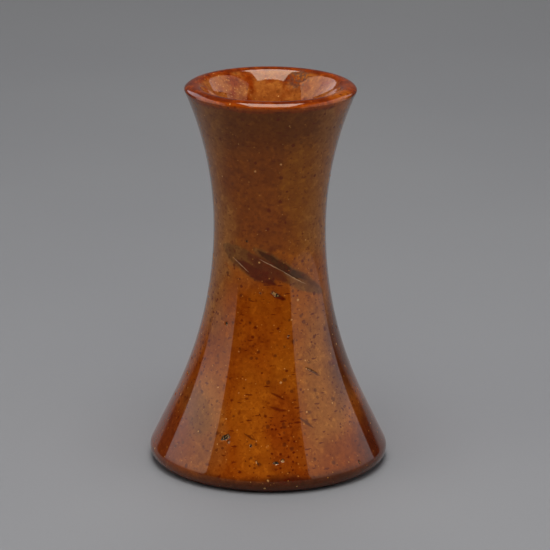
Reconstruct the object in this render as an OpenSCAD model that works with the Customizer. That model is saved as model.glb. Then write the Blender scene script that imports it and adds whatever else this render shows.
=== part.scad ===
// Waisted vase turned from one block of polished hardstone: a wide foot, a long
// concave wall, a rounded lip and a trumpet mouth that narrows to a drilled bore.
// A felt disc is let into the underside. Millimetres, +Z up, origin at the centre
// of the base.

/* [Body] */
// Height from the table to the top of the lip
height = 200; // [170:1:240]
// Largest diameter of the foot
foot_d = 124; // [122:0.2:132]
// Diameter at the waist, the narrowest place
waist_d = 58; // [54:0.2:61]
// Height of the waist above the table
waist_z = 125; // [118:1:128]
// Largest diameter of the lip
rim_d = 88; // [82:0.2:92]
// Slope of the foot's straight skirt, from vertical
skirt_angle = 25.75; // [25:0.25:27]
// Radius that rounds the foot's lower edge
foot_edge_r = 6; // [3:0.5:7]

/* [Mouth] */
// Radius that rounds the lip's outer corner
lip_corner_r = 1.3; // [1:0.1:3]
// Radius of the lip's domed top
lip_crown_r = 6.4; // [5:0.1:9]
// Angle on the lip, up from level, at which the corner meets the domed top
crown_outer = 46; // [40:1:60]
// The same, measured from outward, at which the domed top meets the mouth
crown_inner = 132; // [120:1:134]
// Diameter of the drilled bore
bore_d = 41; // [34:0.5:44]
// Thickness of stone left under the bore
floor_t = 16; // [10:1:24]
// Radius in the corner of the bore's floor
bore_corner_r = 4; // [2:0.5:8]

/* [Underside] */
// Diameter of the recess that holds the felt
recess_d = 100; // [80:1:104]
// Depth of the recess
recess_depth = 1.6; // [1:0.1:1.7]
// Thickness of the felt disc
felt_t = 2; // [1.8:0.1:3]
// Gap between the felt's edge and the recess, all round
felt_gap = 0.4; // [0.2:0.1:1]

/* [Hidden] */
$fn = 96;

stone_bottom = felt_t - recess_depth; // the felt stands this far below the stone
waist_r = waist_d / 2;
bore_r = bore_d / 2;
bore_floor_z = felt_t + floor_t;

// The foot's rounded edge, then a straight skirt, then a concave wall up to the waist
foot_c = [foot_d / 2 - foot_edge_r, stone_bottom + foot_edge_r];
skirt_reach = foot_c * facing(skirt_angle) + foot_edge_r;
lower_wall_r = ([waist_r, waist_z] * facing(skirt_angle) - skirt_reach) / (1 - cos(skirt_angle));
lower_wall_c = [waist_r + lower_wall_r, waist_z];

// The lip's corner and domed top, and the concave wall from the waist up to them
lip_span = lip_crown_r - lip_corner_r;
corner_c = [rim_d / 2 - lip_corner_r, height - lip_crown_r + lip_span * sin(crown_outer)];
crown_c = corner_c - lip_span * facing(crown_outer);
wall_in = waist_r - corner_c.x;
wall_up = corner_c.y - waist_z;
upper_wall_r = (wall_in * wall_in + wall_up * wall_up - lip_corner_r * lip_corner_r)
             / (2 * (lip_corner_r - wall_in));
upper_wall_c = [waist_r + upper_wall_r, waist_z];
upper_wall_angle = asin(wall_up / (upper_wall_r + lip_corner_r));

// The mouth: one curve, tangent to the domed top and to the bore
mouth_r = (crown_c.x + lip_crown_r * cos(crown_inner) - bore_r) / (1 + cos(crown_inner));
mouth_c = crown_c - (mouth_r - lip_crown_r) * facing(crown_inner);
bore_corner_c = [bore_r - bore_corner_r, bore_floor_z + bore_corner_r];

long_steps = 32; // straight pieces in a long curve
short_steps = 12; // straight pieces in a short one

// The direction at an angle from outward, anticlockwise
function facing(a) = [cos(a), sin(a)];

// Points along an arc about c, from angle a0 to a1
function arc(c, r, a0, a1, steps) =
    [for (i = [0:steps]) c + r * facing(a0 + (a1 - a0) * i / steps)];

// The same without its first point, for an arc that starts where another ends
function next_arc(c, r, a0, a1, steps) =
    [for (i = [1:steps]) c + r * facing(a0 + (a1 - a0) * i / steps)];

// The outside, from the ring under the foot up to the lip
function outside_line() = concat(
    arc(foot_c, foot_edge_r, -90, skirt_angle, short_steps),
    arc(lower_wall_c, lower_wall_r, 180 + skirt_angle, 180, long_steps),
    next_arc(upper_wall_c, upper_wall_r, 180, 180 - upper_wall_angle, long_steps)
);

// The lip, from the outer wall over to the mouth
function lip_line() = concat(
    next_arc(corner_c, lip_corner_r, -upper_wall_angle, crown_outer, short_steps),
    next_arc(crown_c, lip_crown_r, crown_outer, crown_inner, short_steps)
);

// The inside, from the mouth down to the middle of the bore's floor
function inside_line() = concat(
    next_arc(mouth_c, mouth_r, crown_inner, 180, long_steps),
    arc(bore_corner_c, bore_corner_r, 0, -90, short_steps),
    [[0, bore_floor_z]]
);

// The underside, from the axis out to the edge of the recess
function underside_line() = [
    [0, felt_t],
    [recess_d / 2, felt_t],
    [recess_d / 2, stone_bottom]
];

// The turned vessel: one block of stone, hollowed from the mouth
module vase_body() {
    color([0.55, 0.26, 0.06])
        rotate_extrude()
            polygon(concat(underside_line(), outside_line(), lip_line(), inside_line()));
}

// The felt disc glued into the underside, which the vase rests on
module base_felt() {
    color([0.10, 0.11, 0.09])
        cylinder(h = felt_t, r = recess_d / 2 - felt_gap);
}

vase_body();
base_felt();
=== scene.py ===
import math
import random

import bmesh
import bpy
import numpy as np
from mathutils import Matrix, Vector, kdtree, noise


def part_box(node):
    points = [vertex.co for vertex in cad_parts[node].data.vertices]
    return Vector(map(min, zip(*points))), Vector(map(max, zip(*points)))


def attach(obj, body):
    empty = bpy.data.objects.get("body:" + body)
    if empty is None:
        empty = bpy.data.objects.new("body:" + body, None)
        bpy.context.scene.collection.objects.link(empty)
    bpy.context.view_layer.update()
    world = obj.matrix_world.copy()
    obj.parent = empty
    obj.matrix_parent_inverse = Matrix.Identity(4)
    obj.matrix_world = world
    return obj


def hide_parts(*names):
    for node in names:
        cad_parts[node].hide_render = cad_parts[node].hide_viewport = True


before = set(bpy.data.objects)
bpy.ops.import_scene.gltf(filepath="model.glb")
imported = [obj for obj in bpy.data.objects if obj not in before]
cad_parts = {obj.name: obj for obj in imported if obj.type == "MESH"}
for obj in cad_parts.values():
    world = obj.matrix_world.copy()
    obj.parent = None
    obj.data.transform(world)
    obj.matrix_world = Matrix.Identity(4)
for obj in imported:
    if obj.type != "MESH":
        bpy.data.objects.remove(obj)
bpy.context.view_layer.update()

# Lengths are in millimetres up to the meshes and lights, which are in metres.
MM = 0.001
stone_low, stone_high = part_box("vase_body")
felt_low, felt_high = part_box("base_felt")

# The vase's outline, as the CAD model has it
HEIGHT = stone_high.z / MM
FOOT_R = stone_high.x / MM
STONE_BOTTOM = stone_low.z / MM
FELT_T = felt_high.z / MM
FELT_R = felt_high.x / MM
WAIST_R = 29
WAIST_Z = 125
RIM_R = 44
SKIRT_ANGLE = 25.75
FOOT_EDGE_R = 6
LIP_CORNER_R = 1.3
LIP_CROWN_R = 6.4
CROWN_OUTER = 46
CROWN_INNER = 132
BORE_R = 20.5
FLOOR_T = 16
BORE_CORNER_R = 4
RECESS_R = 50

# How finely the meshes are cut
AROUND = 224
WALL_STEP = 1.2
MOUTH_STEP = 1.3
BORE_STEP = 5.0
BASE_STEP = 3.0

# The unevenness that hand polishing leaves
WAVE_LENGTH = 12.0
WAVE_DEPTH = 0.010

# How far below the top the outer wall gives way to the smooth lip
LIP_DEPTH = 12

# The depth at which a flaw counts as a full pit
PIT_DEPTH = 0.7

# Flaws in the front of the stone, open to the surface: how far right of the axis,
# how high, half the length, half the width, tilt in degrees and depth
FRONT_FLAWS = [
    (-21.9, 26.2, 2.6, 1.7, 20, 0.9),
    (-20.4, 24.4, 1.3, 0.7, 60, 0.4),
    (4.0, 15.9, 1.9, 0.9, 10, 0.6),
    (7.4, 17.0, 1.5, 0.8, 25, 0.6),
    (-8.9, 23.6, 1.0, 0.9, 0, 0.5),
    (-5.6, 16.0, 2.0, 0.7, -45, 0.4),
    (-11.7, 124.0, 1.2, 0.8, 20, 0.4),
    (3.2, 97.1, 3.0, 1.2, -25, 0.5),
    (-4.6, 97.6, 0.8, 0.8, 0, 0.4),
    (-21.9, 79.9, 1.3, 1.0, 0, 0.5),
    (47.1, 9.8, 0.8, 1.2, 0, 0.5),
    (10.2, 75.9, 0.9, 0.8, 0, 0.4),
    (22.0, 57.5, 4.5, 0.7, -32, 0.3),
    (-14.5, 111.4, 6.2, 0.45, -40, 0.25),
    (0.6, 112.6, 6.2, 0.45, -27, 0.25),
    (12.2, 105.4, 8.2, 0.45, -33, 0.25),
]
SCATTERED_FLAWS = 34


def facing(degrees):
    """The direction at an angle from outward, towards up."""
    return np.array([math.cos(math.radians(degrees)), math.sin(math.radians(degrees))])


def arc(centre, radius, start, end, step):
    """Points along an arc, about a step apart, with both ends."""
    count = max(3, math.ceil(abs(math.radians(end - start)) * radius / step))
    return [centre + radius * facing(a) for a in np.linspace(start, end, count + 1)]


def line(start, end, step):
    """Points along a straight line, about a step apart, with both ends."""
    start, end = np.array(start, float), np.array(end, float)
    count = max(1, math.ceil(np.linalg.norm(end - start) / step))
    return [start + (end - start) * t for t in np.linspace(0, 1, count + 1)]


def joined(*stretches):
    """One outline from stretches that meet, without the points that repeat."""
    points = []
    for p in (p for stretch in stretches for p in stretch):
        if not points or np.linalg.norm(p - points[-1]) > 0.02:
            points.append(p)
    return np.array(points)


def outer_outline():
    """From the ring under the foot up to the top of the lip, and what the mouth needs."""
    foot = np.array([FOOT_R - FOOT_EDGE_R, STONE_BOTTOM + FOOT_EDGE_R])
    tilt = facing(SKIRT_ANGLE)
    reach = foot @ tilt + FOOT_EDGE_R
    lower_r = (np.array([WAIST_R, WAIST_Z]) @ tilt - reach) / (1 - tilt[0])
    lower = np.array([WAIST_R + lower_r, WAIST_Z])
    span = LIP_CROWN_R - LIP_CORNER_R
    corner = np.array([RIM_R - LIP_CORNER_R, HEIGHT - LIP_CROWN_R + span * facing(CROWN_OUTER)[1]])
    crown = corner - span * facing(CROWN_OUTER)
    inward, upward = WAIST_R - corner[0], corner[1] - WAIST_Z
    upper_r = (inward**2 + upward**2 - LIP_CORNER_R**2) / (2 * (LIP_CORNER_R - inward))
    upper = np.array([WAIST_R + upper_r, WAIST_Z])
    rise = math.degrees(math.asin(upward / (upper_r + LIP_CORNER_R)))
    skirt_foot = foot + FOOT_EDGE_R * tilt
    skirt_top = lower - lower_r * tilt
    outline = joined(
        arc(foot, FOOT_EDGE_R, -90, SKIRT_ANGLE, 0.7 * WALL_STEP),
        line(skirt_foot, skirt_top, WALL_STEP),
        arc(lower, lower_r, 180 + SKIRT_ANGLE, 180, WALL_STEP),
        arc(upper, upper_r, 180, 180 - rise, WALL_STEP),
        arc(corner, LIP_CORNER_R, -rise, CROWN_OUTER, 0.4 * WALL_STEP),
        arc(crown, LIP_CROWN_R, CROWN_OUTER, CROWN_INNER, 0.6 * WALL_STEP),
    )
    return outline, crown


def inner_outline(crown):
    """From the lip down the mouth and the bore to the middle of its floor."""
    turn = facing(CROWN_INNER)
    mouth_r = (crown[0] + LIP_CROWN_R * turn[0] - BORE_R) / (1 + turn[0])
    mouth = crown - (mouth_r - LIP_CROWN_R) * turn
    floor_z = FELT_T + FLOOR_T
    corner = np.array([BORE_R - BORE_CORNER_R, floor_z + BORE_CORNER_R])
    return joined(
        arc(mouth, mouth_r, CROWN_INNER, 180, MOUTH_STEP),
        line((BORE_R, mouth[1]), (BORE_R, corner[1]), BORE_STEP),
        arc(corner, BORE_CORNER_R, 0, -90, 0.8),
        line((corner[0], floor_z), (0, floor_z), BASE_STEP),
    )


def under_outline():
    """From the middle of the recess out to the ring under the foot, with its edges eased."""
    ease = 0.3
    return joined(
        line((0, FELT_T), (RECESS_R, FELT_T), BASE_STEP),
        arc(np.array([RECESS_R + ease, STONE_BOTTOM + ease]), ease, 180, 270, 0.2),
        line((RECESS_R + ease, STONE_BOTTOM), (FOOT_R - FOOT_EDGE_R, STONE_BOTTOM), BASE_STEP),
    )


def turned(r, azimuth, z):
    """A point in metres, from its radius, its azimuth from the front and its height in millimetres."""
    return (r * math.sin(azimuth) * MM, -r * math.cos(azimuth) * MM, z * MM)


def lathe(name, outline, around):
    """A closed mesh turned about the Z axis from an outline that starts and ends on the axis."""
    made = bmesh.new()
    rings = []
    for r, z in outline:
        if r < 0.01:
            rings.append([made.verts.new((0, 0, z * MM))])
            continue
        turns = (2 * math.pi * i / around for i in range(around))
        rings.append([made.verts.new(turned(r, a, z)) for a in turns])
    for low, high in zip(rings, rings[1:]):
        for i in range(around):
            j = (i + 1) % around
            corners = [low[i % len(low)], low[j % len(low)], high[j % len(high)], high[i % len(high)]]
            made.faces.new(list(dict.fromkeys(corners)))
    bmesh.ops.recalc_face_normals(made, faces=made.faces)
    mesh = bpy.data.meshes.new(name)
    made.to_mesh(mesh)
    made.free()
    piece = bpy.data.objects.new(name, mesh)
    bpy.context.scene.collection.objects.link(piece)
    return piece


def placed_flaws(wall):
    """Azimuth, height, half length, half width, tilt and depth of each flaw, the front ones first."""
    found = [(math.asin(x / np.interp(z, *wall)), z, *rest) for x, z, *rest in FRONT_FLAWS]
    chance = random.Random(11)
    for _ in range(SCATTERED_FLAWS):
        azimuth = math.radians(chance.uniform(75, 285))
        length, width = chance.uniform(0.8, 2.6), chance.uniform(0.5, 1.0)
        tilt, depth = chance.uniform(-60, 20), chance.uniform(0.25, 0.7)
        found.append((azimuth, chance.uniform(8, 184), length, width, tilt, depth))
    return found


def refined(piece, wall, flaws):
    """Cuts the faces finer round each flaw."""
    made = bmesh.new()
    made.from_mesh(piece.data)
    made.faces.ensure_lookup_table()
    tree = kdtree.KDTree(len(made.faces))
    for face in made.faces:
        tree.insert(face.calc_center_median(), face.index)
    tree.balance()
    edges = set()
    for azimuth, z, length, *_ in flaws:
        centre = turned(np.interp(z, *wall), azimuth, z)
        for _, index, _ in tree.find_range(centre, (length + 1.5) * MM):
            edges.update(made.faces[index].edges)
    bmesh.ops.subdivide_edges(made, edges=list(edges), cuts=3, use_grid_fill=True)
    made.to_mesh(piece.data)
    made.free()


def eased(t):
    """A smooth climb from 0 to 1."""
    t = np.clip(t, 0, 1)
    return t * t * (3 - 2 * t)


def hollows(azimuth, z, true_radius, flaws):
    """How far each point sinks into the flaws, and how much of it is pit, from 0 to 1 or a little over."""
    sunk = np.zeros(len(z))
    pit = np.zeros(len(z))
    for middle, height, length, width, tilt, depth in flaws:
        across = (azimuth - middle + math.pi) % (2 * math.pi) - math.pi
        right, up = facing(tilt)
        along = (across * true_radius * right + (z - height) * up) / length
        beside = ((z - height) * right - across * true_radius * up) / width
        turn = np.arctan2(beside, along)
        edge = 1 + 0.16 * np.sin(2 * turn + height) + 0.12 * np.sin(5 * turn + 3 * height)
        hollow = depth * eased((1 - np.hypot(along, beside) / edge) / 0.45)
        sunk = sunk + hollow
        pit = np.maximum(pit, hollow / PIT_DEPTH)
    return sunk, pit


def weathered(piece, wall, flaws):
    """Sinks the flaws and waves in the polished wall, and marks pit and polish for the material."""
    flat = np.empty(len(piece.data.vertices) * 3)
    piece.data.vertices.foreach_get("co", flat)
    points = flat.reshape(-1, 3) / MM
    x, y, z = points.T
    radius = np.hypot(x, y)
    true_radius = np.interp(z, *wall)
    lip_z = HEIGHT - LIP_DEPTH
    on_wall = (np.abs(radius - true_radius) < 0.2) & (z > STONE_BOTTOM + 1) & (z < lip_z)
    waves = np.array([noise.noise(Vector(p)) for p in points / WAVE_LENGTH])
    fade = eased((z - 3) / 5) * eased((lip_z - z) / 6)
    sunk, pit = hollows(np.arctan2(x, -y), z, true_radius, flaws)
    sunk = sunk + WAVE_DEPTH * (1 + waves) * fade
    scale = np.where(on_wall, (true_radius - sunk) / np.maximum(radius, 1), 1)
    points[:, 0] *= scale
    points[:, 1] *= scale
    piece.data.vertices.foreach_set("co", points.ravel() * MM)
    in_bore = (radius < BORE_R + 6) & (z < HEIGHT - 6)
    dull = np.where(in_bore, eased((HEIGHT - 14 - z) / 25), 0)
    dull = np.maximum(dull, eased((STONE_BOTTOM + 0.8 - z) / 0.6))
    for name, values in (("pit", np.where(on_wall, pit, 0)), ("polish", 1 - dull)):
        piece.data.attributes.new(name, "FLOAT", "POINT").data.foreach_set("value", values)
    piece.data.update()


vase_outer, vase_crown = outer_outline()
vase_outline = joined(under_outline(), vase_outer, inner_outline(vase_crown))
vase = lathe("polished_vase", vase_outline, AROUND)
climb = vase_outer[: np.argmax(vase_outer[:, 1]) + 1]
vase_wall = (climb[:, 1], climb[:, 0])
vase_flaws = placed_flaws(vase_wall)
refined(vase, vase_wall, vase_flaws)
weathered(vase, vase_wall, vase_flaws)
vase.data.shade_smooth()

felt_outline = joined(
    line((0, 0), (FELT_R - 0.5, 0), BASE_STEP),
    arc(np.array([FELT_R - 0.5, 0.5]), 0.5, -90, 0, 0.2),
    line((FELT_R, 0.5), (FELT_R, FELT_T), 0.5),
    line((FELT_R, FELT_T), (0, FELT_T), BASE_STEP),
)
felt = lathe("felt_disc", felt_outline, AROUND)
felt.data.shade_smooth()


class Look:
    """A material under construction: each method adds shader nodes and returns an output."""

    def __init__(self, name):
        self.material = bpy.data.materials.new(name)
        self.material.use_nodes = True
        self.tree = self.material.node_tree
        self.shader = self.tree.nodes["Principled BSDF"]

    def put(self, socket, value):
        """Links an output to a socket, or sets the socket to a value."""
        if isinstance(value, bpy.types.NodeSocket):
            self.tree.links.new(value, socket)
        elif socket.type == "RGBA":
            socket.default_value = (*value[:3], 1)
        else:
            socket.default_value = value

    def finish(self, **values):
        """Sets the shader's own sockets, named with underscores for spaces."""
        for name, value in values.items():
            self.put(self.shader.inputs[name.replace("_", " ")], value)
        return self.material

    def add(self, kind, inputs, output=0, **settings):
        """A shader node with its inputs and settings, given as one of its outputs."""
        made = self.tree.nodes.new("ShaderNode" + kind)
        for name, value in settings.items():
            setattr(made, name, value)
        for key, value in inputs.items():
            self.put(made.inputs[key], value)
        return made.outputs[output]

    def place(self):
        """The position on the object, in millimetres."""
        return self.vector("SCALE", self.add("TexCoord", {}, "Object"), scale=1 / MM)

    def vector(self, operation, a, b=(0, 0, 0), scale=1.0):
        output = 1 if operation in ("LENGTH", "DOT_PRODUCT") else 0
        return self.add("VectorMath", {0: a, 1: b, 3: scale}, output, operation=operation)

    def math(self, operation, a, b=0.0):
        return self.add("Math", {0: a, 1: b}, operation=operation)

    def times(self, a, b):
        return self.math("MULTIPLY", a, b)

    def ramp(self, value, low, high, top=1.0):
        """A smooth climb from 0 at low to the top value at high."""
        inputs = {"Value": value, "From Min": low, "From Max": high, "To Max": top}
        return self.add("MapRange", inputs, interpolation_type="SMOOTHSTEP")

    def mix(self, amount, under, over, blend="MIX"):
        return self.add("Mix", {0: amount, 6: under, 7: over}, 2, data_type="RGBA", blend_type=blend)

    def cloud(self, place, size, detail=2.0, stretch=(1, 1, 1)):
        """Noise whose features are about a size across, in millimetres."""
        inputs = {"Vector": self.vector("MULTIPLY", place, stretch), "Scale": 1 / size, "Detail": detail}
        return self.add("TexNoise", inputs)

    def warp(self, place, size, by):
        """The position, pushed about by noise."""
        push = self.add("TexNoise", {"Vector": place, "Scale": 1 / size, "Detail": 2.0}, 1)
        push = self.vector("SUBTRACT", push, (0.5, 0.5, 0.5))
        return self.vector("ADD", place, self.vector("SCALE", push, scale=2 * by))

    def dots(self, place, cell, radius, share):
        """Soft dots up to a radius, one in a share of the cells."""
        distance = self.add("TexVoronoi", {"Vector": place, "Scale": 1 / cell}, "Distance")
        chance = self.tree.nodes.new("ShaderNodeSeparateColor")
        self.put(chance.inputs[0], distance.node.outputs["Color"])
        smallest, spread = 0.3 * radius / cell, 0.7 * radius / cell
        reach = self.add("Math", {0: chance.outputs[0], 1: spread, 2: smallest}, operation="MULTIPLY_ADD")
        dot = self.ramp(distance, reach, self.times(reach, 0.5))
        return self.times(dot, self.math("LESS_THAN", chance.outputs[1], share))

    def patch(self, place, middle, half, softness):
        """An oval patch seen from the front: its middle and half sizes to the right and up."""
        offset = self.vector("SUBTRACT", place, (middle[0], 0, middle[1]))
        scaled = self.vector("MULTIPLY", offset, (1 / half[0], 0, 1 / half[1]))
        return self.ramp(self.vector("LENGTH", scaled), 1 + softness, 1 - softness)

    def spot(self, place, middle, radius):
        """A soft ball about a point in the stone."""
        away = self.vector("LENGTH", self.vector("SUBTRACT", place, middle))
        return self.ramp(away, radius, 0.4 * radius)

    def leaf(self, place, start, end, width, softness):
        """A pointed leaf seen from the front, from tip to tip, with half its width."""
        run = Vector((end[0] - start[0], 0, end[1] - start[1]))
        side = Vector((-run.z, 0, run.x)).normalized()
        offset = self.vector("SUBTRACT", place, (start[0], 0, start[1]))
        t = self.vector("DOT_PRODUCT", offset, tuple(run / run.length_squared))
        bulge = self.times(self.times(t, self.math("SUBTRACT", 1.0, t)), 4.0)
        edge = self.times(self.math("SQRT", self.math("MAXIMUM", bulge, 0.0)), width)
        off = self.math("ABSOLUTE", self.vector("DOT_PRODUCT", offset, tuple(side)))
        return self.ramp(self.math("SUBTRACT", edge, off), 0.0, softness)


# Colours in the stone, and of its painted glints, as linear reflectances
AMBER = (0.42, 0.078, 0.003)
GOLD = (0.52, 0.125, 0.006)
OCHRE = (0.47, 0.165, 0.03)
HONEY = (0.38, 0.105, 0.006)
RUST = (0.32, 0.045, 0.003)
BROWN = (0.28, 0.052, 0.004)
EARTH = (0.25, 0.040, 0.003)
BARK = (0.17, 0.034, 0.004)
MAROON = (0.11, 0.017, 0.005)
DUSK = (0.20, 0.030, 0.008)
OLIVE = (0.23, 0.078, 0.016)
BLOOD = (0.13, 0.009, 0.002)
PITCH = (0.055, 0.007, 0.002)
WINE = (0.19, 0.024, 0.004)
PAINTED_LIGHT_ORANGE = (0.42, 0.068, 0.004)
STRAW = (0.48, 0.14, 0.022)
CINDER = (0.15, 0.070, 0.045)
PIT_BLACK = (0.020, 0.012, 0.007)
# Painted glints take this pale colour.
PAINTED_GLINT_TAN = (0.85, 0.42, 0.12)
CREAM = (0.80, 0.50, 0.28)
# Golden painted glints take this colour.
GOLDEN_GLINT = (0.70, 0.26, 0.04)

# Broad clouds on the front, with painted shade at the foot and partly under the lip: middle, half sizes,
# colour and strength
CLOUDS_AND_PAINTED_SHADE = [
    ((0, 155), (90, 46), HONEY, 0.8),
    # Partly the stone's own darker top and partly painted shade: the wall under the lip, which faces down.
    ((0, 188), (60, 16), BARK, 0.85),
    ((-8, 168), (26, 14), BARK, 0.35),
    ((-4, 150), (26, 28), BROWN, 0.7),
    ((17, 152), (11, 26), HONEY, 0.8),
    ((-25, 130), (8, 18), OCHRE, 0.7),
    ((-24, 112), (6, 9), OCHRE, 0.8),
    ((26, 130), (9, 16), OCHRE, 0.6),
    ((-32, 165), (9, 38), OCHRE, 0.45),
    ((33, 165), (10, 42), OCHRE, 0.6),
    ((-30, 102), (7, 26), OCHRE, 0.8),
    ((-1, 128), (17, 13), EARTH, 0.4),
    ((20, 78), (13, 32), GOLD, 0.7),
    ((30, 52), (13, 44), OCHRE, 0.6),
    ((-31, 30), (9, 22), OCHRE, 0.45),
    ((-9, 36), (9, 26), GOLD, 0.8),
    ((9, 30), (9, 20), RUST, 0.65),
    ((-42, 20), (14, 16), DUSK, 0.4),
    ((-38, 36), (8, 10), OLIVE, 0.5),
    ((42, 15), (18, 12), RUST, 0.7),
    ((60, 26), (14, 30), MAROON, 0.85),
    ((40, 76), (10, 36), MAROON, 0.85),
    ((-60, 24), (12, 24), DUSK, 0.6),
    # The last two rows are painted shade: the foot's rounded lower edge, darkened where it faces down to the
    # floor.
    ((16, 4), (44, 5), MAROON, 0.85),
    ((0, 0), (90, 8), MAROON, 0.8),
]

# The dark inclusion across the waist, then thin streaks: tips, half width, softness, colour and strength
LEAVES = [
    ((-23, 111), (-9, 102.5), 2.4, 1.8, GOLD, 0.7),
    ((0, 107), (14, 98.5), 3.2, 2.4, GOLD, 0.7),
    ((3, 121), (16, 113), 2.6, 2.0, GOLD, 0.6),
    ((-23.5, 120.5), (3, 104.5), 6.4, 1.6, OLIVE, 0.85),
    ((-9, 121.5), (28, 93.8), 5.0, 1.6, OLIVE, 0.8),
    ((-17, 113.5), (4, 102.0), 3.8, 1.8, BLOOD, 0.9),
    ((-12, 118.0), (10, 103.5), 4.6, 2.4, BLOOD, 0.75),
    ((-7, 120.5), (20, 102.5), 2.4, 1.0, PITCH, 0.85),
    ((13, 109.5), (26, 96.5), 1.8, 1.2, BARK, 0.6),
    ((-2, 119.5), (7, 123.0), 2.2, 1.6, BLOOD, 0.45),
    ((18.2, 59.9), (26.5, 54.4), 0.8, 0.5, MAROON, 0.8),
    ((15.3, 36.2), (23.5, 30.6), 0.9, 0.6, MAROON, 0.8),
    ((-12.5, 29.6), (-6.5, 26.2), 0.7, 0.5, MAROON, 0.7),
    ((0.8, 48.6), (8.6, 45.0), 0.9, 0.6, BLOOD, 0.7),
    ((0.2, 42.2), (9.6, 40.0), 1.1, 0.8, BLOOD, 0.7),
    ((-0.5, 98.4), (8.6, 94.4), 1.5, 0.9, BLOOD, 0.9),
    ((30.0, 60.4), (35.0, 57.0), 1.5, 0.9, DUSK, 0.8),
]

# Fissures that have healed pale: tips
FISSURES = [((-19.0, 115.0), (-10.2, 107.9)), ((-5.4, 115.6), (6.4, 109.4)), ((4.8, 110.4), (19.2, 100.6))]


def clouded_and_shaded(look, place, front):
    """The stone's broad colours, all round and then as they fall on the front, with painted shade at the foot
    and partly under the lip.
    """
    drift = look.warp(place, 30, 9)
    colour = look.mix(look.ramp(look.cloud(drift, 34, 3.0, (1, 1, 0.6)), 0.42, 0.62), AMBER, GOLD)
    colour = look.mix(look.ramp(look.cloud(drift, 24, 3.0, (1.3, 1, 0.8)), 0.48, 0.68, 0.25), colour, RUST)
    colour = look.mix(look.ramp(look.cloud(drift, 40, 4.0, (1, 1.2, 1.1)), 0.50, 0.70, 0.35), colour, BROWN)
    bent = look.warp(place, 16, 4)
    for middle, half, tint, strength in CLOUDS_AND_PAINTED_SHADE:
        amount = look.times(look.patch(bent, middle, half, 0.42), look.times(front, strength))
        colour = look.mix(amount, colour, tint)
    return colour


def lipped(look, place, colour):
    """A redder lip, with painted light making its near outer corner more orange."""
    height = look.add("SeparateXYZ", {0: place}, 2)
    radius = look.vector("LENGTH", look.vector("MULTIPLY", place, (1, 1, 0)))
    level = look.math("ADD", height, look.times(look.cloud(place, 6), 3.0))
    red = look.mix(look.ramp(look.cloud(place, 9, 3.0), 0.42, 0.62), RUST, WINE)
    colour = look.mix(look.ramp(level, HEIGHT - 4.2, HEIGHT - 3.0, 0.95), colour, red)
    # Painted light: only the near side of the outer corner turns brighter orange.
    near = look.ramp(look.add("SeparateXYZ", {0: place}, 1), -14.0, -32.0)
    above = look.ramp(height, HEIGHT - 4.6, HEIGHT - 3.6)
    below = look.ramp(height, HEIGHT - 0.6, HEIGHT - 1.6)
    corner = look.times(look.times(look.times(above, below), near), look.ramp(radius, 38.0, 41.0))
    return look.mix(corner, colour, PAINTED_LIGHT_ORANGE)


def mouthed(look, place, colour):
    """A golden mouth inside the lip, with painted light as a bright patch on the lip's right front, painted
    glints as pale grains on the left, and a crumbly dark spot.
    """
    height = look.add("SeparateXYZ", {0: place}, 2)
    radius = look.vector("LENGTH", look.vector("MULTIPLY", place, (1, 1, 0)))
    golden = look.mix(look.ramp(look.cloud(place, 8, 3.0), 0.42, 0.66), STRAW, RUST)
    widening = look.ramp(height, 170.0, HEIGHT - 3, 10.0)
    inside = look.ramp(look.math("SUBTRACT", radius, widening), 26.5, 24.5)
    colour = look.mix(inside, colour, golden)
    bent = look.warp(place, 5, 1.5)
    # Painted light: a brighter golden patch on the right front of the lip.
    colour = look.mix(look.times(look.spot(bent, (34, -20, 198), 12), 0.85), colour, GOLD)
    # Painted glints: pale grains over the left of the mouth.
    grains = look.dots(look.warp(place, 1.0, 0.3), 1.4, 0.6, 0.6)
    painted_mouth_glints = look.times(grains, look.spot(bent, (-24, 12, 192), 24))
    colour = look.mix(look.times(painted_mouth_glints, 0.7), colour, PAINTED_GLINT_TAN)
    crumbs = look.ramp(look.cloud(place, 1.6), 0.38, 0.58, 0.8)
    return look.mix(look.times(look.spot(bent, (15, 30, 195), 9), crumbs), colour, CINDER)


def included(look, place, front, colour):
    """The dark inclusion, streaks and healed fissures."""
    bent = look.warp(look.warp(place, 9, 1.3), 2.5, 0.45)
    for start, end, width, softness, tint, strength in LEAVES:
        amount = look.times(look.leaf(bent, start, end, width, softness), look.times(front, strength))
        colour = look.mix(amount, colour, tint)
    fine = look.warp(place, 3, 0.25)
    for start, end in FISSURES:
        amount = look.times(look.leaf(fine, start, end, 0.34, 0.3), look.times(front, 0.8))
        colour = look.mix(amount, colour, CREAM)
    return colour


# What each kind of mottling multiplies the colour beneath by
SHADED = (0.62, 0.52, 0.45)
GRAINED = (0.60, 0.42, 0.40)
LIT = (1.45, 1.7, 1.7)
BLOTCHED = (0.62, 0.45, 0.40)


def mottled(look, place, colour):
    """Fine shade and grain, light flecks and broader blotches."""
    shade = look.ramp(look.cloud(place, 2.4, 3.0), 0.3, 0.7, 0.35)
    colour = look.mix(shade, colour, SHADED, "MULTIPLY")
    grain = look.ramp(look.cloud(look.warp(place, 2, 0.6), 1.5, 2.0), 0.50, 0.62, 0.30)
    colour = look.mix(grain, colour, GRAINED, "MULTIPLY")
    flecks = look.ramp(look.cloud(look.warp(place, 3, 0.8), 2.8, 2.0), 0.56, 0.66, 0.5)
    colour = look.mix(flecks, colour, LIT, "MULTIPLY")
    blotch = look.ramp(look.cloud(look.warp(place, 8, 2), 5, 3.0), 0.44, 0.66, 0.42)
    return look.mix(blotch, colour, BLOTCHED, "MULTIPLY")


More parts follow.
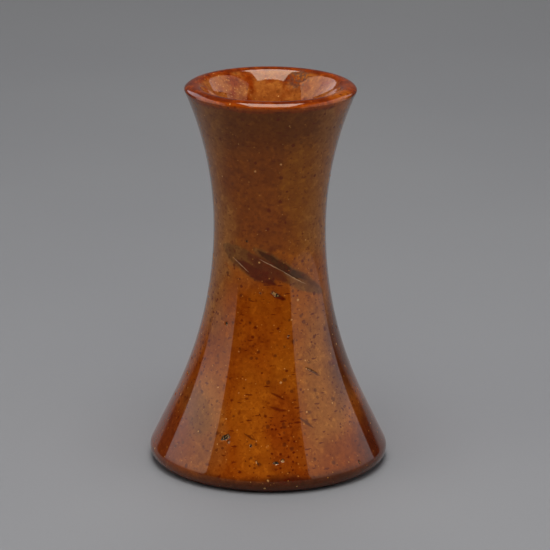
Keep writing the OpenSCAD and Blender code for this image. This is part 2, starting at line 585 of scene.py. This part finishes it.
def darkened(look, place, colour):
    """Slanted dashes, threads, dark specks of three sizes and painted golden glints, mostly below the waist.
    """
    ragged = look.warp(place, 1.6, 0.5)
    height = look.add("SeparateXYZ", {0: place}, 2)
    busy = look.math("ADD", look.ramp(height, 128.0, 104.0, 0.4), 0.6)
    crowd = look.math("MAXIMUM", look.ramp(look.cloud(place, 22), 0.40, 0.62), 0.35)
    slant = {"Vector": ragged, "Rotation": (0, math.radians(-32), 0), "Scale": (0.3, 0.5, 1.3)}
    dashes = look.times(look.dots(look.add("Mapping", slant), 2.2, 0.8, 0.5), busy)
    colour = look.mix(look.times(dashes, 0.8), colour, BLOOD)
    wander = look.math("ABSOLUTE", look.math("SUBTRACT", look.cloud(ragged, 6, 1.0), 0.5))
    threads = look.times(look.ramp(wander, 0.035, 0.010), look.ramp(look.cloud(place, 8), 0.60, 0.68))
    colour = look.mix(look.times(threads, 0.5), colour, BLOOD)
    specks = look.times(look.dots(ragged, 2.2, 0.95, 0.75), look.times(crowd, busy))
    colour = look.mix(look.times(specks, 0.85), colour, BLOOD)
    halo = look.times(look.dots(ragged, 4.2, 1.5, 0.5), busy)
    colour = look.mix(look.times(halo, 0.65), colour, MAROON)
    grit = look.dots(ragged, 6.0, 1.5, 0.7)
    colour = look.mix(look.times(grit, 0.8), colour, BLOOD)
    # Painted glints: small golden highlights, mostly below the waist.
    golden_glints = look.times(look.dots(look.warp(place, 1.5, 0.3), 2.6, 0.55, 0.6), busy)
    return look.mix(look.times(golden_glints, 0.7), colour, GOLDEN_GLINT), specks


def painted_glints(look, place, colour):
    """Painted glints: small pale highlights, and larger and rarer ones."""
    glints = look.dots(look.warp(place, 1.2, 0.2), 5.0, 0.6, 0.6)
    large_glints = look.dots(look.warp(place, 1.0, 0.4), 7.3, 0.85, 0.8)
    return look.mix(look.times(look.math("MAXIMUM", glints, large_glints), 0.8), colour, PAINTED_GLINT_TAN)


def stone():
    """Polished amber stone, dull in the bore and under the foot, and dark and rough in the pits, with painted
    glints in them.
    """
    look = Look("polished_stone")
    place = look.place()
    depth = look.add("SeparateXYZ", {0: place}, 1)
    front = look.ramp(depth, 6.0, -6.0)
    colour = clouded_and_shaded(look, place, front)
    colour = mouthed(look, place, lipped(look, place, colour))
    colour = included(look, place, front, colour)
    colour, specks = darkened(look, place, mottled(look, place, colour))
    colour = painted_glints(look, place, colour)
    pit = look.add("Attribute", {}, 2, attribute_name="pit")
    # The pits are coloured nearly black.
    colour = look.mix(look.ramp(pit, 0.25, 0.7), colour, PIT_BLACK)
    # Painted glints in the pits: pale specks along their broken edges.
    crumbs = look.times(look.ramp(look.cloud(place, 1.1), 0.55, 0.62), look.ramp(pit, 0.2, 0.5))
    colour = look.mix(look.times(crumbs, 0.8), colour, PAINTED_GLINT_TAN)
    polish = look.add("Attribute", {}, 2, attribute_name="polish")
    smears = look.times(look.ramp(look.cloud(place, 18, 4.0), 0.4, 0.7), 0.02)
    dull = look.times(look.math("SUBTRACT", 1.0, polish), 0.38)
    roughness = look.math("ADD", smears, 0.035)
    roughness = look.math("ADD", roughness, look.math("ADD", dull, look.times(pit, 0.3)))
    relief = look.math("SUBTRACT", look.times(look.cloud(place, 1.6), 0.5), specks)
    bump = look.add("Bump", {"Height": relief, "Distance": 4e-6})
    return look.finish(Base_Color=colour, Roughness=roughness, Normal=bump, IOR=1.54,
                       Specular_Tint=(1.0, 0.84, 0.5))


def wool_felt():
    """Dark, dense felt with a few paler fibres."""
    look = Look("dark_felt")
    place = look.place()
    fibres = look.cloud(look.warp(place, 1.5, 0.8), 0.35, 4.0, (1, 3, 1))
    deep, worn, stray = (0.022, 0.026, 0.021), (0.038, 0.042, 0.034), (0.075, 0.080, 0.066)
    tone = look.mix(look.ramp(look.cloud(place, 9, 3.0), 0.35, 0.65), deep, worn)
    colour = look.mix(look.ramp(fibres, 0.5, 0.75, 0.6), tone, stray)
    bump = look.add("Bump", {"Height": fibres, "Distance": 1.5e-4})
    return look.finish(Base_Color=colour, Roughness=0.95, Normal=bump, Sheen_Weight=0.3)


def paper():
    """The grey paper of the floor and backdrop."""
    look = Look("backdrop_paper")
    place = look.place()
    tone = look.ramp(look.cloud(place, 420, 2.0), 0.3, 0.7)
    cool, plain, fibre = (0.300, 0.300, 0.308), (0.315, 0.315, 0.320), (0.22, 0.22, 0.22)
    colour = look.mix(tone, cool, plain)
    grain = look.cloud(place, 1.4, 3.0)
    colour = look.mix(look.ramp(grain, 0.35, 0.7, 0.05), colour, fibre)
    bump = look.add("Bump", {"Height": grain, "Distance": 3e-5})
    return look.finish(Base_Color=colour, Roughness=0.88, Normal=bump)


vase.data.materials.append(stone())
felt.data.materials.append(wool_felt())

for piece, node, slot in ((vase, "vase_body", "polished_stone"), (felt, "base_felt", "dark_felt")):
    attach(piece, "root")
    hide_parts(node)


def sweep():
    """A pale floor that curves up into a backdrop behind the vase."""
    front, back, bend, top, half = -2.6, 1.9, 0.7, 3.2, 2.35
    points = [(front, 0)]
    points += [(back + bend * math.sin(a), bend * (1 - math.cos(a))) for a in np.linspace(0, math.pi / 2, 24)]
    points.append((back + bend, top))
    made = bmesh.new()
    rows = [[made.verts.new((x, y, z)) for x in (-half, half)] for y, z in points]
    for low, high in zip(rows, rows[1:]):
        made.faces.new((low[0], low[1], high[1], high[0]))
    mesh = bpy.data.meshes.new("sweep")
    made.to_mesh(mesh)
    made.free()
    mesh.shade_smooth()
    floor = bpy.data.objects.new("sweep", mesh)
    bpy.context.scene.collection.objects.link(floor)
    mesh.materials.append(paper())


sweep()


# The tint of what the polish mirrors, bluer than white
COOL = (1.0, 1.05, 1.3)


def softbox(name, centre, towards, width, height, radiance, colour=(1, 1, 1)):
    """A lamp with an even face, which the camera doesn't see."""
    lamp = bpy.data.lights.new(name, "AREA")
    lamp.shape = "RECTANGLE"
    lamp.color = colour
    lamp.size = width
    lamp.size_y = height
    lamp.energy = radiance * math.pi * width * height
    box = bpy.data.objects.new(name, lamp)
    box.location = centre
    box.rotation_euler = (Vector(towards) - Vector(centre)).to_track_quat("-Z", "Y").to_euler()
    box.visible_camera = False
    bpy.context.scene.collection.objects.link(box)
    return box


def glow(name, bottom, top, radiance):
    """A light that comes on smoothly between two heights, in millimetres above the floor."""
    look = Look(name)
    height = look.add("SeparateXYZ", {0: look.place()}, 2)
    strength = look.ramp(height, bottom, top, radiance)
    look.material.cycles.emission_sampling = "NONE"
    return look.finish(Base_Color=(0, 0, 0), Emission_Color=COOL, Emission_Strength=strength,
                       Roughness=1.0, Specular_IOR_Level=0.0)


def card(name, front, back, bottom, top, look):
    """An upright glowing card between two corners on the floor, seen only in the polish."""
    mesh = bpy.data.meshes.new(name)
    corners = [(*front, bottom), (*back, bottom), (*back, top), (*front, top)]
    mesh.from_pydata(corners, [], [(0, 1, 2, 3)])
    mesh.materials.append(look)
    sheet = bpy.data.objects.new(name, mesh)
    sheet.visible_camera = False
    sheet.visible_diffuse = False
    sheet.visible_shadow = False
    bpy.context.scene.collection.objects.link(sheet)


# Pale cards at the sides, which fade in from below, and a softbox overhead: all seen only in the polish
CARD_BREAK = 0.55
left_glow = glow("left_glow", -50, 220, 1.2)
right_glow = glow("right_glow", -200, 150, 0.75)
card("left_card", (-0.69, -0.38), (-0.69, 0.30), 0.0, CARD_BREAK, left_glow)
card("left_upper_card", (-0.69, -0.10), (-0.69, 1.45), CARD_BREAK, 1.15, left_glow)
card("right_card", (0.43, -0.517), (0.59, 0.297), 0.0, CARD_BREAK, right_glow)
card("right_upper_card", (0.483, -0.237), (0.70, 1.05), CARD_BREAK, 1.05, right_glow)
softbox("top_card", (0, 0.06, 1.4), (0, 0.06, 0), 0.75, 0.9, 5.1, COOL).visible_diffuse = False

# The light that falls on everything, not seen in the polish: from overhead, from the front, from both
# sides, from behind and off a dim ceiling. Each has its centre, aim, width, height and radiance.
LAMPS = {
    "top_softbox": ((0, -0.22, 1.35), (0, -0.22, 0), 0.75, 0.9, 4.4),
    "front_fill": ((0, -1.0, 1.3), (0, 0, 0.1), 1.2, 1.0, 1.5),
    "left_fill": ((-1.0, -0.6, 0.7), (0, 0, 0.1), 0.8, 0.8, 0.9),
    "right_fill": ((1.0, -0.6, 0.7), (0, 0, 0.1), 0.8, 0.8, 0.8),
    "back_fill": ((0, 1.3, 1.6), (0, 1.2, 0), 1.2, 0.8, 3.0),
    "ceiling": ((0, 0, 2.6), (0, 0, 0), 5.0, 5.0, 0.10),
}
for lamp_name, values in LAMPS.items():
    softbox(lamp_name, *values).visible_glossy = False

world = bpy.data.worlds.new("studio")
world.use_nodes = True
world.node_tree.nodes["Background"].inputs["Color"].default_value = (0.02, 0.02, 0.02, 1)
bpy.context.scene.world = world

# The camera, from the front and a little above
CAMERA_DISTANCE = 1.6331
CAMERA_ELEVATION = 16.614
CAMERA_AIM = (0.0029, 0, 0.0985)
CAMERA_LENS = 206.43
CAMERA_ROLL = 0.395
camera = bpy.data.objects.new("camera", bpy.data.cameras.new("camera"))
camera.data.lens = CAMERA_LENS
camera.data.sensor_width = 36
elevation = math.radians(CAMERA_ELEVATION)
back = Vector((0, -math.cos(elevation), math.sin(elevation)))
camera.location = Vector(CAMERA_AIM) + back * CAMERA_DISTANCE
roll = Matrix.Rotation(math.radians(CAMERA_ROLL), 3, "Z")
aimed = (-back).to_track_quat("-Z", "Y").to_matrix() @ roll
camera.rotation_euler = aimed.to_euler()
bpy.context.scene.collection.objects.link(camera)
bpy.context.scene.camera = camera
bpy.context.scene.view_settings.view_transform = "Standard"
